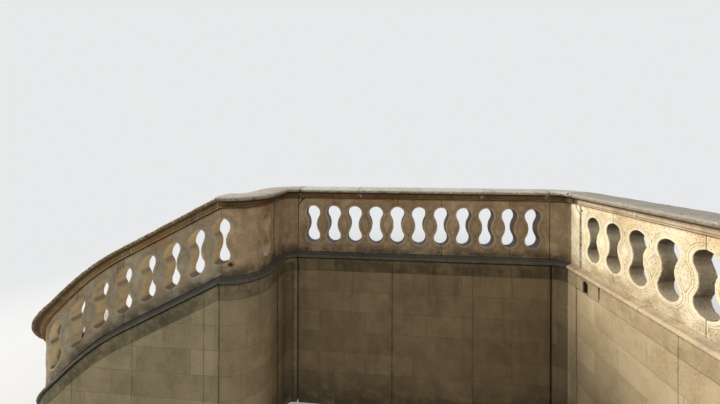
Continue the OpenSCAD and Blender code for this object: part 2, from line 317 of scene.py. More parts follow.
@dataclass(frozen=True)
class Opening:
    """An hourglass opening, placed along its run."""

    along: float

    def rim(self, along: np.ndarray, level: np.ndarray) -> np.ndarray:
        """Distance of points outside the opening's outline.

        Args:
            along: Distances along the run.
            level: Levels above the terrace.

        Returns:
            The distances, below zero inside the outline.
        """
        lobe, half_neck = SIZES.lobe_w / 2, SIZES.neck_w / 2
        rise = SIZES.opening_h / 2 - lobe
        waist_r = (half_neck ** 2 + rise ** 2 - lobe ** 2) / (2 * (lobe - half_neck))
        across = half_neck + waist_r
        u, v = np.abs(along - self.along), np.abs(level - SIZES.opening_level)
        at_neck = across * (v - rise) + rise * u < 0
        return np.where(at_neck, waist_r - np.hypot(u - across, v), np.hypot(u, v - rise) - lobe)


LEFT_PIER_END = LAP + SIZES.pier_arc + SIZES.left_straight
RIGHT_PIER_END = LAP + SIZES.pier_arc + SIZES.right_straight
BAY_OPENINGS = [Opening(SIZES.margin + k * SIZES.pitch) for k in range(11)]
STAIR_OPENINGS = [Opening(k * SIZES.stair_pitch) for k in range(9)]
CORNER_OPENINGS = [
    Opening(LEFT_PIER_END + SIZES.margin),
    Opening(LEFT_PIER_END + SIZES.margin + SIZES.corner_arc + SIZES.tail),
]


# Shader expressions


def operator(operation: str, reflected: bool = False) -> Callable[["Sock", "Term"], "Sock"]:
    """Makes an operator of shader values from the operation of a Math node.

    Args:
        operation: The node's operation.
        reflected: Whether the other value comes first.

    Returns:
        The operator.
    """
    def add_node(self: "Sock", other: "Term") -> "Sock":
        """The operation on the two values."""
        first, second = (other, self) if reflected else (self, other)
        return self.graph.maths(operation, first, second)

    return add_node


class Sock:
    """A shader value that takes part in Python expressions."""

    __add__ = operator("ADD")
    __radd__ = operator("ADD", reflected=True)
    __sub__ = operator("SUBTRACT")
    __rsub__ = operator("SUBTRACT", reflected=True)
    __mul__ = operator("MULTIPLY")
    __rmul__ = operator("MULTIPLY", reflected=True)
    __truediv__ = operator("DIVIDE")
    __rtruediv__ = operator("DIVIDE", reflected=True)
    most = operator("MAXIMUM")
    least = operator("MINIMUM")

    def __init__(self, graph: "Graph", socket: bpy.types.NodeSocket) -> None:
        """Wraps one output socket of a graph's node."""
        self.graph = graph
        self.socket = socket

    def other(self, name: str) -> "Sock":
        """Another output of the same node."""
        return Sock(self.graph, self.socket.node.outputs[name])

    def __abs__(self) -> "Sock":
        """The size of the value."""
        return self.graph.maths("ABSOLUTE", self, 0.0)

    def step(self, low: float, high: float) -> "Sock":
        """A smooth step from 0 at low to 1 at high, or down where low is the greater."""
        return self.graph.node("MapRange", {"interpolation_type": "SMOOTHSTEP"},
                               {"Value": self, "From Min": low, "From Max": high})

    def band(self, start: float, full: float, falls: float, end: float) -> "Sock":
        """A smooth band, 1 from full to falls and 0 before its start and after its end."""
        return self.step(start, full) * self.step(end, falls)


Term = Union[Sock, float]


class Graph:
    """A tree of shader nodes, for a material or the world."""

    def __init__(self, tree: bpy.types.NodeTree) -> None:
        """Starts with an empty tree."""
        self.tree = tree
        tree.nodes.clear()

    def add(self, kind: str, settings: Optional[dict] = None,
            inputs: Optional[dict] = None) -> bpy.types.ShaderNode:
        """Adds one node.

        Args:
            kind: Type of the node, without its ShaderNode prefix.
            settings: Properties that are set first.
            inputs: Values or links by socket name or number.

        Returns:
            The node.
        """
        made = self.tree.nodes.new("ShaderNode" + kind)
        for key, value in (settings or {}).items():
            setattr(made, key, value)
        for key, value in (inputs or {}).items():
            if isinstance(value, Sock):
                self.tree.links.new(value.socket, made.inputs[key])
            else:
                made.inputs[key].default_value = value
        return made

    def node(self, kind: str, settings: Optional[dict] = None, inputs: Optional[dict] = None,
             output: Union[int, str] = 0) -> Sock:
        """Adds one node and takes one of its outputs."""
        return Sock(self, self.add(kind, settings, inputs).outputs[output])

    def end(self, kind: str, surface: Sock) -> None:
        """Links a surface to the output of a Material or a World."""
        self.add("Output" + kind, None, {"Surface": surface})

    def part(self, vector: Sock, axis: str) -> Sock:
        """One number of a vector, X, Y or Z."""
        return self.node("SeparateXYZ", None, {0: vector}, axis)

    def maths(self, operation: str, first: Term, second: Term) -> Sock:
        """A Math node on two values."""
        return self.node("Math", {"operation": operation}, {0: first, 1: second})

    def stored(self, name: str, output: str = "Fac") -> Sock:
        """An attribute of the piece's own mesh."""
        return self.node("Attribute", {"attribute_name": name}, output=output)

    def mix(self, first: Union[Sock, Colour], second: Union[Sock, Colour], share: Term,
            blend: str = "MIX") -> Sock:
        """Mixes two colours.

        Args:
            first: Colour where the share is 0.
            second: Colour where the share is 1.
            share: Share of the second colour.
            blend: How the colours are mixed.

        Returns:
            The mixed colour.
        """
        return self.node("Mix", {"data_type": "RGBA", "blend_type": blend, "clamp_factor": True},
                         {0: share, 6: first, 7: second}, 2)

    def shade(self, colour: Sock, factor: Sock) -> Sock:
        """A colour made darker or lighter by a factor."""
        return self.mix(colour, factor, 1.0, "MULTIPLY")

    def noise(self, at: Sock, scale: float, detail: float = 4.0, rough: float = 0.6) -> Sock:
        """Cloudy noise from 0 to 1, most of it between 0.3 and 0.7."""
        return self.node("TexNoise", None, {
            "Vector": at, "Scale": scale, "Detail": detail, "Roughness": rough})

    def cells(self, at: Sock, scale: float) -> Sock:
        """Distance to the nearest of scattered points, in cells."""
        return self.node("TexVoronoi", None, {"Vector": at, "Scale": scale})

    def moved(self, at: Sock, scale: Place, shift: Place = (0.0, 0.0, 0.0)) -> Sock:
        """Coordinates stretched and shifted."""
        return self.node("Mapping", None, {"Vector": at, "Scale": scale, "Location": shift})


def new_material(name: str) -> tuple[bpy.types.Material, Graph]:
    """Makes an empty material and the graph that fills it.

    Args:
        name: Name of the material.

    Returns:
        The material and its graph.
    """
    material = bpy.data.materials.new(name)
    material.use_nodes = True
    return material, Graph(material.node_tree)


# Finishes


class Course(Enum):
    """The courses of the balustrade, from the ground up."""

    WALL = "wall"
    LEDGE = "ledge"
    PANEL = "panel"
    COPING = "coping"

    @property
    def slot(self) -> str:
        """The record's material slot of the course."""
        return f"{self.value}_stone"


class Aspect(Enum):
    """Which way a stone faces, and so which copy of the sandstone it takes: the shaded copies hold painted
    shade and the sunlit copy holds painted sunlight in their colours.
    """

    SHADE = "shaded"
    # The corner block: shaded colours, with the flight's painted warm light in its openings
    HEAD = "sheltered"
    FLIGHT = "flight"
    SUN = "bleached"


@dataclass(frozen=True, kw_only=True)
class Finish:
    """Colours and amounts that every weathered stone finish has."""

    pale: Paint
    body: Paint
    deep: Paint
    # Colour of dirt, also laid as painted shade in hollows, creases and under overhangs
    grime: Paint
    grime_cover: float = 0.5
    pitting: float = 0.5


@dataclass(frozen=True, kw_only=True)
class PanelFinish(Finish):
    """Finish of the slabs: their rain stains, and the painted light and shade on the sides, sills and heads
    of their openings.
    """

    stain: Paint
    # Painted light and shade in the openings: on their sides, on their upward faces and on their downward
    # faces
    reveal: Paint
    sill: Paint
    under: Paint
    lines: float = 0.7


@dataclass(frozen=True, kw_only=True)
class CopingFinish(Finish):
    """Finish of the coping: its soffit, its lichen, its nosing, its mortar and the painted shade over its
    fascia.
    """

    stain: Paint
    crust: Paint
    nose: Paint
    crust_cover: float
    mortar: float = 0.6
    hood: float = 0.4


@dataclass(frozen=True, kw_only=True)
class LedgeFinish(Finish):
    """Finish of the ledge, with its lichen."""

    crust: Paint
    crust_cover: float


@dataclass(frozen=True, kw_only=True)
class WallFinish(Finish):
    """Finish of the wall, with its stained and its crusted blocks."""

    stain: Paint
    crust: Paint


MORTAR: Paint = (206, 200, 186)
OPEN_JOINT: Paint = (30, 24, 18)
OPEN_CRACK: Paint = (26, 21, 16)
PAINTED_INNER_SHADE: Paint = (22, 19, 15)
RUST: Paint = (104, 60, 34)
OLD_IRON: Paint = (34, 26, 22)
PALE_LICHEN: Paint = (232, 229, 218)
GREY_LICHEN: Paint = (96, 92, 84)
DARK_LICHEN: Paint = (84, 80, 72)
BLACK_LICHEN: Paint = (62, 58, 50)

# Half the width of a crack
CRACK = 0.0032


class Sandstone:
    """Weathered sandstone, to which each course adds its own layers."""

    def __init__(self, name: str, finish: Finish) -> None:
        """Starts the material of one finish.

        Args:
            name: Name of the material.
            finish: The colours and amounts.
        """
        self.finish = finish
        self.material, self.graph = new_material(name)
        graph = self.graph
        self.at = graph.node("TexCoord", output="Object")
        self.up = graph.part(graph.node("NewGeometry", output="Normal"), "Z")
        self.along = graph.part(graph.stored("course", "Vector"), "X")
        self.side = abs(self.along.other("Y"))
        self.level = self.along.other("Z")
        self.rim = graph.stored("rim")
        self.joint = graph.stored("joint")
        self.worn = graph.stored("worn")
        self.broad = graph.noise(self.at, 1.7, 3.0)
        self.cloud = graph.noise(self.at, 6.5, 6.0)
        self.blotch = graph.noise(graph.moved(self.at, (3.2, 3.2, 2.4), (4.1, 7.3, 1.9)), 1.0, 8.0, 0.68)
        self.grain = graph.noise(self.at, 150.0, 3.0, 0.75)
        self.coarse = graph.noise(self.at, 38.0, 5.0, 0.7)
        self.streak = graph.noise(graph.moved(self.at, (11.0, 11.0, 0.9), (2.0, 5.0, 0.0)), 1.0, 5.0, 0.62)
        mottle = (self.broad * 0.4 + self.cloud * 0.6).step(0.36, 0.58)
        self.colour = graph.mix(tone(finish.pale), tone(finish.body), mottle)
        self.paint(finish.deep, self.blotch.step(0.5, 0.72) * 0.7)
        self.paint(finish.pale, graph.noise(self.at, 22.0, 4.0, 0.7).step(0.56, 0.75) * 0.5)
        self.height = self.grain * 0.0007 + self.coarse * 0.0022 + self.cloud * 0.004
        pits = self.pits(60.0, 0.34).most(self.pits(115.0, 0.38) * 0.8)
        self.pit_marks = pits * (self.coarse * 0.6 + self.blotch * 0.8).step(0.6, 0.76)

    def pits(self, scale: float, size: float) -> Sock:
        """Small round pits, 1 in their middles."""
        return self.graph.cells(self.at, scale).step(size, size * 0.45)

    def paint(self, colour: Paint, share: Term) -> None:
        """Lays a colour over a share of the surface."""
        self.colour = self.graph.mix(self.colour, tone(colour), share)

    def cut(self, mask: Sock, depth: float) -> None:
        """Lowers the surface under a mask by a depth in metres."""
        self.height = self.height - mask * depth

    def line(self, distance: Sock, half_width: float) -> Sock:
        """A worn line, 1 within half a width of where a distance is zero."""
        wander = (self.coarse - 0.5) * 0.006
        return abs(distance + wander).step(half_width * 1.9, half_width * 0.5)

    def joints(self, mortar: float = 0.0) -> None:
        """Draws the joints at the ends of the stones, and the dirt and mortar beside them.

        Args:
            mortar: Share of pale mortar that is left in and beside the joints.
        """
        gap = self.graph.stored("gap")
        away = abs(self.joint + (self.coarse - 0.5) * 0.005)
        near = (away / gap).step(1.5, 0.6)
        open_share = (gap * 90.0).least(1.0)
        self.paint(self.finish.grime, away.step(0.05, 0.0) * self.cloud.step(0.4, 0.62) * open_share * 0.6)
        if mortar:
            patch = away.step(0.035, 0.01) * self.graph.noise(self.at, 28.0, 3.0).step(0.5, 0.58)
            self.paint(MORTAR, patch * mortar)
        self.paint(OPEN_JOINT, near * (open_share * 0.7 + 0.25))
        self.cut(near, 0.005)

    def layers(self) -> None:
        """Adds the layers of the course."""
        raise NotImplementedError

    def build(self) -> bpy.types.Material:
        """Finishes the material.

        Returns:
            The material.
        """
        graph, finish = self.graph, self.finish
        self.layers()
        pitted = self.pit_marks * finish.pitting
        self.paint(finish.grime, pitted * 0.7)
        self.cut(pitted, 0.0035)
        crack = graph.part(graph.stored("crack", "Vector"), "X")
        split = self.line(crack, CRACK) * crack.other("Y").step(0.012, 0.002)
        self.paint(OPEN_CRACK, split * 0.9)
        self.cut(split, 0.008)
        iron = graph.stored("iron") + (self.coarse - 0.5) * 0.7
        self.paint(RUST, iron.step(2.4, 0.9) * 0.75)
        self.paint(OLD_IRON, iron.step(1.15, 0.7) * 0.9)
        # Paler where the surface stands out, from wear; darker in hollows, part dirt and part painted shade
        self.paint(finish.pale, self.worn.step(0.35, 1.0) * self.coarse.step(0.4, 0.6) * 0.5)
        self.paint(finish.grime, self.worn.step(-0.45, -1.1) * 0.45)
        self.colour = graph.shade(self.colour, self.grain * 0.3 + 0.85)
        self.colour = graph.shade(self.colour, self.coarse * 0.3 + 0.85)
        # The tone darkens or lightens a stone, warmer as it darkens: a random tone from stone to stone, and
        # on some stones painted shade and painted sunlight along their run
        shade = graph.stored("tone")
        tint = graph.node("CombineColor", None, {
            0: shade, 1: graph.maths("POWER", shade, 1.22), 2: graph.maths("POWER", shade, 1.43)})
        self.colour = graph.shade(self.colour, tint)
        normal = graph.node("Bump", None, {"Strength": 1.0, "Distance": 1.0, "Height": self.height})
        surface = graph.node("BsdfPrincipled", None, {
            "Base Color": self.colour, "Roughness": self.cloud * 0.2 + 0.76, "Normal": normal,
            "Specular IOR Level": 0.2})
        graph.end("Material", surface)
        return self.material


class PanelStone(Sandstone):
    """The pierced slabs and piers: incised outlines, pitted balusters, rain and rust stains, a painted shadow
    under the coping, and painted light and shade in the openings.
    """

    RAIN = (0.6, 0.96)
    RUN_OFF = (0.78, 0.955)
    DAMP_FOOT = (0.41, 0.25)
    COPING_EDGE = (0.942, 0.962)
    PAST_RIM = (0.007, 0.001)
    BETWEEN_FACES = (0.0685, 0.062)
    ON_FACE = (0.058, 0.064)
    TOOLED = (0.045, 0.056, 0.3, 0.5)
    OUTLINES = (0.032, 0.05)
    LINE = 0.0019
    finish: PanelFinish

    def layers(self) -> None:
        """Adds the layers of the slabs."""
        finish, graph = self.finish, self.graph
        rain = self.streak.step(0.5, 0.72) * self.level.step(*self.RAIN)
        self.paint(finish.grime, rain * finish.grime_cover * 0.7)
        self.paint(finish.stain, self.broad.step(0.46, 0.64) * self.level.step(*self.RUN_OFF) * 0.6)
        foot = self.cloud.step(0.34, 0.62) * 0.5 + finish.grime_cover * 0.8
        self.paint(finish.grime, self.level.step(*self.DAMP_FOOT) * foot)
        # Painted shadow of the coping along the slab's top
        self.paint(finish.grime, self.level.step(*self.COPING_EDGE) * 0.75)
        # Painted light and shade in the openings: on the sides, on downward faces, as pale flecks on upward
        # faces, and on the sills
        inside = self.rim.step(*self.PAST_RIM) * self.side.step(*self.BETWEEN_FACES)
        self.paint(finish.reveal, inside * 0.65)
        self.paint(finish.under, inside * self.up.step(0.1, -0.5) * 0.75)
        self.paint(finish.pale, inside * self.coarse.step(0.54, 0.66) * self.up.step(0.0, 0.4) * 0.3)
        self.paint(finish.sill, inside * self.up.step(0.1, 0.75) * 0.75)
        worn = graph.noise(self.at, 9.0, 3.0).step(0.38, 0.5) * 0.7 + 0.3
        inner, outer = (self.line(self.rim - outline, self.LINE) for outline in self.OUTLINES)
        incised = inner.most(outer) * worn * self.side.step(*self.ON_FACE)
        self.paint(finish.grime, incised * finish.lines)
        self.cut(incised, 0.0022)
        tooled = self.rim.band(*self.TOOLED)
        self.pit_marks = self.pit_marks.most(self.pits(75.0, 0.4) * tooled * self.cloud.step(0.3, 0.55))
        self.joints()


class CopingStone(Sandstone):
    """The coping: grey lichen on top, a pale nosing, a hollow darkened with painted shade, painted shade over
    the fascia, and a rusty soffit.
    """

    NOSING = (1.044, 1.05)
    HOLLOW = (1.016, 1.034, 1.045, 1.052)
    FASCIA = (1.012, 1.004)
    UNDER_HOLLOW = (0.986, 0.993, 1.0, 1.02)
    GROOVE = 0.988
    finish: CopingFinish

    def layers(self) -> None:
        """Adds the layers of the coping."""
        finish, graph = self.finish, self.graph
        top = self.up.step(0.1, 0.6)
        roll = self.level.step(*self.NOSING) * (1.0 - top)
        mottle = graph.noise(self.at, 13.0, 5.0, 0.7)
        fine = graph.noise(self.at, 32.0, 4.0, 0.7)
        self.worn = self.worn * (1.0 - (top + roll) * 0.7)
        self.paint(finish.nose, roll * 0.92)
        self.paint(finish.crust, top * ((self.blotch * 0.5 + mottle * 0.5).step(0.3, 0.5) * 0.3 + 0.7))
        self.paint(finish.crust, roll * fine.step(0.5, 0.62) * 0.7)
        self.paint(DARK_LICHEN, roll * fine.step(0.46, 0.36) * 0.5)
        clouded = mottle.step(0.5, 0.7) * self.broad.step(0.4, 0.6)
        self.paint(GREY_LICHEN, (top + roll * 0.6) * clouded * 0.5)
        spots = graph.cells(self.at, 34.0).step(0.42, 0.22) * graph.noise(self.at, 5.0, 4.0).step(0.47, 0.6)
        self.paint(PALE_LICHEN, spots * (top + roll * 0.5) * finish.crust_cover)
        dark = graph.cells(graph.moved(self.at, (1.0, 1.0, 1.0), (3.3, 1.2, 0.4)), 56.0).step(0.42, 0.2)
        self.paint(BLACK_LICHEN, dark * (top + roll) * self.coarse.step(0.42, 0.58) * 0.6)
        self.paint(finish.stain, self.up.step(-0.3, -0.8) * 0.6)
        self.paint(finish.stain, self.level.step(*self.FASCIA) * self.broad.step(0.42, 0.62) * 0.4)
        groove = self.line(self.level - self.GROOVE, 0.0024)
        # Painted shade over the fascia below the hollow
        sheltered = self.level.band(*self.UNDER_HOLLOW) * finish.hood
        self.paint(finish.grime, (groove * 0.75).most(sheltered) * (1.0 - top))
        self.cut(groove, 0.002)
        # Painted shade in the hollow under the nosing
        self.paint(finish.grime, self.level.band(*self.HOLLOW) * 0.85)
        self.paint(finish.grime, self.streak.step(0.5, 0.7) * (1.0 - top) * finish.grime_cover)
        self.joints(finish.mortar)


class LedgeStone(Sandstone):
    """The ledge under the slabs: dark, with lichen, a pale roll that is part wear and part painted highlight,
    and a painted shadow under the roll.
    """

    ROLL = (0.197, 0.206)
    ARRIS = (0.172, 0.177, 0.184, 0.191)
    BED = (0.176, 0.168)
    OUTER = (0.13, 0.14)
    BESIDE_SLABS = (0.082, 0.072)
    finish: LedgeFinish

    def layers(self) -> None:
        """Adds the layers of the ledge."""
        finish = self.finish
        top, outer = self.up.step(0.1, 0.6), self.side.step(*self.OUTER)
        crusted = self.cloud.step(0.62 - 0.4 * finish.crust_cover, 0.62)
        self.paint(finish.crust, crusted * (top * 0.7 + 0.15))
        # Pale along the roll and its lower arris: part wear, part painted highlight
        self.paint(finish.pale, self.level.step(*self.ROLL) * outer * self.coarse.step(0.5, 0.66) * 0.35)
        self.paint(finish.pale, self.level.band(*self.ARRIS) * outer * self.coarse.step(0.38, 0.56) * 0.8)
        # Painted shadow under the roll
        self.paint(finish.grime, self.level.step(*self.BED) * (finish.grime_cover + 0.25))
        self.paint(finish.grime, self.side.step(*self.BESIDE_SLABS) * finish.grime_cover * 0.5)
        self.joints()


class WallStone(Sandstone):
    """The plinth and the wall below it: coursed blocks, green and damp towards the ground, with painted shade
    under the ledge and on faces set back inside the wall.
    """

    BLOCK = (0.62, 0.27)
    PLINTH_FOOT = (0.012, -0.012)
    SEAMED = (0.0, -0.03)
    UNDER_LEDGE = (0.14, 0.166)
    DAMP_HEIGHT = 0.5
    INNER = (0.112, 0.1)
    finish: WallFinish

    def layers(self) -> None:
        """Adds the layers of the wall."""
        finish, graph = self.finish, self.graph
        height = graph.part(self.at, "Z")
        place = graph.node("CombineXYZ", None, {"X": self.along, "Y": height + 0.1, "Z": 0.0})
        length, depth = self.BLOCK
        blocks = graph.node("TexBrick", {"offset": 0.5}, {
            "Vector": place, "Scale": 1.0, "Mortar Size": 0.005, "Mortar Smooth": 0.6, "Bias": 0.0,
            "Brick Width": length, "Row Height": depth, "Color1": (0.8, 0.79, 0.77, 1.0),
            "Color2": (1.06, 1.06, 1.07, 1.0), "Mortar": (0.9, 0.9, 0.9, 1.0)}, "Fac")
        seams = blocks * self.level.step(*self.SEAMED)
        self.paint(finish.grime, seams * 0.6)
        self.cut(seams, 0.003)
        below = self.level.step(*self.PLINTH_FOOT)
        self.paint(finish.crust, below * 0.8)
        self.paint(finish.stain, below * self.blotch.step(0.42, 0.66) * 0.6)
        self.paint(finish.pale, below * graph.noise(self.at, 4.0, 5.0).step(0.5, 0.66) * 0.5)
        self.colour = graph.mix(self.colour, blocks.other("Color"), below, "MULTIPLY")
        # Damp darkening towards the ground, and painted shade under the ledge
        damp = height.step(self.DAMP_HEIGHT, 0.0) * self.cloud.step(0.3, 0.6) * 0.6
        self.paint(finish.grime, damp.most(self.level.step(*self.UNDER_LEDGE) * 0.7))
        self.paint(finish.grime, self.line(self.level, 0.004) * 0.5)
        self.paint(finish.grime, self.streak.step(0.52, 0.74) * finish.grime_cover * (1.0 - below * 0.5))
        # Painted shade on faces set back inside the wall
        self.paint(PAINTED_INNER_SHADE, self.side.step(*self.INNER) * self.level.step(-0.02, 0.0) * 0.8)
        self.joints()


KINDS: dict[Course, type[Sandstone]] = {
    Course.WALL: WallStone, Course.LEDGE: LedgeStone, Course.PANEL: PanelStone, Course.COPING: CopingStone}

# Each palette has light painted into it: the shaded ones are darker with painted shade, the sunlit one is
# paler with painted sunlight, and the colours of the openings' sides, sills and undersides are painted light
# and shade
FINISHES: dict[tuple[Aspect, Course], Finish] = {
    (Aspect.SHADE, Course.PANEL): PanelFinish(
        pale=(178, 156, 122), body=(156, 134, 103), deep=(126, 106, 80), grime=(74, 62, 46),
        stain=(156, 112, 68), reveal=(102, 104, 110), sill=(132, 134, 142), under=(84, 80, 78),
        pitting=0.65, lines=1.0),
    (Aspect.HEAD, Course.PANEL): PanelFinish(
        pale=(182, 158, 124), body=(161, 137, 106), deep=(130, 109, 83), grime=(78, 65, 48),
        stain=(158, 116, 74), reveal=(206, 178, 134), sill=(110, 104, 98), under=(150, 126, 94),
        pitting=0.65),
    (Aspect.FLIGHT, Course.PANEL): PanelFinish(
        pale=(177, 163, 137), body=(154, 138, 111), deep=(130, 114, 89), grime=(84, 73, 56),
        stain=(164, 126, 78), reveal=(238, 212, 166), sill=(96, 90, 86), under=(238, 206, 152),
        pitting=0.6, lines=0.55),
    (Aspect.SUN, Course.PANEL): PanelFinish(
        pale=(250, 236, 204), body=(241, 222, 181), deep=(214, 188, 144), grime=(142, 122, 90),
        stain=(214, 172, 116), reveal=(66, 53, 37), sill=(212, 194, 166), under=(58, 44, 28),
        grime_cover=0.3, pitting=0.85, lines=0.6),
    (Aspect.SHADE, Course.COPING): CopingFinish(
        pale=(138, 112, 74), body=(114, 88, 55), deep=(92, 70, 43), grime=(52, 41, 27), stain=(124, 82, 44),
        crust=(200, 195, 182), nose=(154, 147, 134), crust_cover=0.8, pitting=0.4),
    (Aspect.FLIGHT, Course.COPING): CopingFinish(
        pale=(170, 146, 102), body=(138, 114, 76), deep=(110, 90, 58), grime=(70, 57, 38),
        stain=(142, 100, 58), crust=(196, 192, 182), nose=(108, 90, 60), crust_cover=0.9,
        pitting=0.4, mortar=0.2, hood=0.3),
    (Aspect.SUN, Course.COPING): CopingFinish(
        pale=(212, 193, 161), body=(192, 171, 141), deep=(164, 141, 112), grime=(84, 68, 52),
        stain=(182, 152, 116), crust=(166, 160, 146), nose=(146, 140, 130), crust_cover=0.35,
        grime_cover=0.25, pitting=0.4, mortar=0.15, hood=0.0),
    (Aspect.SHADE, Course.LEDGE): LedgeFinish(
        pale=(96, 90, 77), body=(70, 65, 54), deep=(54, 50, 41), grime=(33, 30, 26), crust=(84, 81, 72),
        crust_cover=0.7),
    (Aspect.SUN, Course.LEDGE): LedgeFinish(
        pale=(209, 189, 154), body=(193, 172, 137), deep=(161, 140, 108), grime=(104, 88, 66),
        crust=(172, 160, 134), crust_cover=0.3, grime_cover=0.35),
    (Aspect.SHADE, Course.WALL): WallFinish(
        pale=(112, 97, 71), body=(78, 68, 47), deep=(60, 52, 36), grime=(44, 39, 28), stain=(112, 96, 68),
        crust=(136, 118, 88), grime_cover=0.4),
    (Aspect.SUN, Course.WALL): WallFinish(
        pale=(182, 161, 128), body=(161, 141, 109), deep=(136, 118, 88), grime=(92, 79, 57),
        stain=(172, 149, 112), crust=(198, 178, 141), grime_cover=0.25),
}


class Palette:
    """The finished materials, each made when it is first asked for."""

    def __init__(self) -> None:
        """Starts with no material made."""
        self._made: dict[str, bpy.types.Material] = {}

    def finish(self, course: Course, aspect: Aspect) -> bpy.types.Material:
        """The material of a course.

        Args:
            course: The course.
            aspect: Which way the stone faces.

        Returns:
            The material.
        """
        name = f"{aspect.value}_{course.slot}"
        if name not in self._made:
            finish = FINISHES.get((aspect, course)) or FINISHES[Aspect.SHADE, course]
            self._made[name] = KINDS[course](name, finish).build()
        return self._made[name]


# Damage


@dataclass(frozen=True)
class Chip:
    """A piece broken out of a stone, placed on the stone's run."""

    along: float
    left: float
    level: float
    size: float
    proportions: Place = (1.3, 1.3, 0.75)
    roughness: float = 0.35

    def cut(self, piece: bpy.types.Object, run: Run) -> None:
        """Breaks the piece out of a stone.

        Args:
            piece: The stone, a closed mesh.
            run: The stone's run.
        """
        bpy.ops.object.select_all(action="DESELECT")
        bpy.ops.mesh.primitive_ico_sphere_add(subdivisions=2, radius=self.size,
                                              location=run.place(self.along, self.left, self.level))
        lump = bpy.context.active_object
        bpy.ops.object.mode_set(mode="EDIT")
        bpy.ops.mesh.select_all(action="SELECT")
        bpy.ops.transform.resize(value=self.proportions)
        bpy.ops.transform.vertex_random(offset=self.size * self.roughness, seed=int(self.along * 1000) % 97)
        bpy.ops.object.mode_set(mode="OBJECT")
        only(piece)
        apply_modifier(piece, "BOOLEAN", operation="DIFFERENCE", solver="EXACT", object=lump)
        bpy.data.objects.remove(lump)


@dataclass(frozen=True)
class Crack:
    """A crack through a stone's face, from place to place on its run, each along and level."""

    path: tuple[tuple[float, float], ...]
    half_width: float = CRACK

    def measure(self, along: np.ndarray, level: np.ndarray) -> np.ndarray:
        """Finds how far points lie beside the crack and beyond its ends.

        Args:
            along: Distances along the run.
            level: Levels above the terrace.

        Returns:
            For each point the distance beside the crack, signed and scaled as if its half width were
            CRACK, the distance beyond it, and 0.
        """
        best = np.full(len(along), np.inf)
        found = np.zeros((len(along), 3))
        for (u0, v0), (u1, v1) in zip(self.path, self.path[1:]):
            length = math.hypot(u1 - u0, v1 - v0)
            du, dv = (u1 - u0) / length, (v1 - v0) / length
            here = (along - u0) * du + (level - v0) * dv
            beside = (level - v0) * du - (along - u0) * dv
            beyond = np.maximum(0.0, np.maximum(-here, here - length))
            closer = np.hypot(beside, beyond) < best
            best[closer] = np.hypot(beside, beyond)[closer]
            found[closer, 0], found[closer, 1] = beside[closer] * CRACK / self.half_width, beyond[closer]
        return found


@dataclass(frozen=True)
class Seam:
    """A joint that has opened, with half its width."""

    along: float
    half_width: float = 0.005


@dataclass(frozen=True)
class IronSpot:
    """The rusty hole of a lost iron dowel."""

    along: float
    level: float
    size: float

    def measure(self, along: np.ndarray, level: np.ndarray) -> np.ndarray:
        """Distances of points from the spot, in its sizes."""
        return np.hypot(along - self.along, level - self.level) / self.size


# Worn stones


# Distance at which doubles are merged, and height above its surroundings at which a point is fully worn
MERGE = 1e-5
PROUD = 0.0022

# Half the width of a closed joint, and how far from an opened one its width holds
JOINT = 0.0023
SEAM_REACH = 0.07

# Where wear starts beside a joint or a bed, and over what width it grows
OFF_JOINT = (0.004, 0.01)
OFF_BED = (0.001, 0.006)

# Share of a stone's length over which its tone turns, on some stones into painted sunlight, and the iron
# measure where there is no iron
TURN_WIDTH = 0.1
NO_IRON = 9.0


def only(piece: bpy.types.Object) -> None:
    """Makes one object the whole selection."""
    bpy.ops.object.select_all(action="DESELECT")
    piece.select_set(True)
    bpy.context.view_layer.objects.active = piece


def apply_modifier(piece: bpy.types.Object, kind: str, **settings: object) -> None:
    """Adds a modifier to the selected piece, and applies it.

    Args:
        piece: The piece.
        kind: Type of the modifier.
        settings: Its settings.
    """
    modifier = piece.modifiers.new(kind.lower(), kind)
    for key, value in settings.items():
        setattr(modifier, key, value)
    bpy.ops.object.modifier_apply(modifier=modifier.name)


def read_points(piece: bpy.types.Object, what: str) -> np.ndarray:
    """Reads what a mesh holds for its points.

    Args:
        piece: The piece.
        what: co for their places, normal for their normals.

    Returns:
        The places or the normals, one in each line.
    """
    values = np.zeros(len(piece.data.vertices) * 3, np.float32)
    piece.data.vertices.foreach_get(what, values)
    return values.reshape(-1, 3).astype(float)


def store(piece: bpy.types.Object, name: str, values: np.ndarray) -> None:
    """Keeps a value or a vector for each point of a mesh.

    Args:
        piece: The piece.
        name: Name of the attribute.
        values: One value, or three, for each point.
    """
    kind, field = ("FLOAT", "value") if values.ndim == 1 else ("FLOAT_VECTOR", "vector")
    piece.data.attributes.new(name, kind, "POINT").data.foreach_set(field, values.ravel().astype(np.float32))


def standing_out(piece: bpy.types.Object) -> np.ndarray:
    """Measures how far each point of a mesh stands out from those around it.

    Args:
        piece: The piece.

    Returns:
        The heights in metres, below zero in a hollow.
    """
    ends = np.zeros(len(piece.data.edges) * 2, np.int32)
    piece.data.edges.foreach_get("vertices", ends)
    first, second = ends.reshape(-1, 2).T
    points = read_points(piece, "co")
    count = np.bincount(ends, minlength=len(points))[:, None]
    around = points
    for _ in range(5):
        sums = [np.bincount(first, around[second, i], len(points))
                + np.bincount(second, around[first, i], len(points)) for i in range(3)]
        around = np.stack(sums, axis=1) / count
    return np.einsum("ij,ij->i", points - around, read_points(piece, "normal"))


def ramp(values: np.ndarray, start: float, width: float) -> np.ndarray:
    """Shares that rise evenly from 0 at the start to 1 a width further on."""
    return np.clip((values - start) / width, 0.0, 1.0)


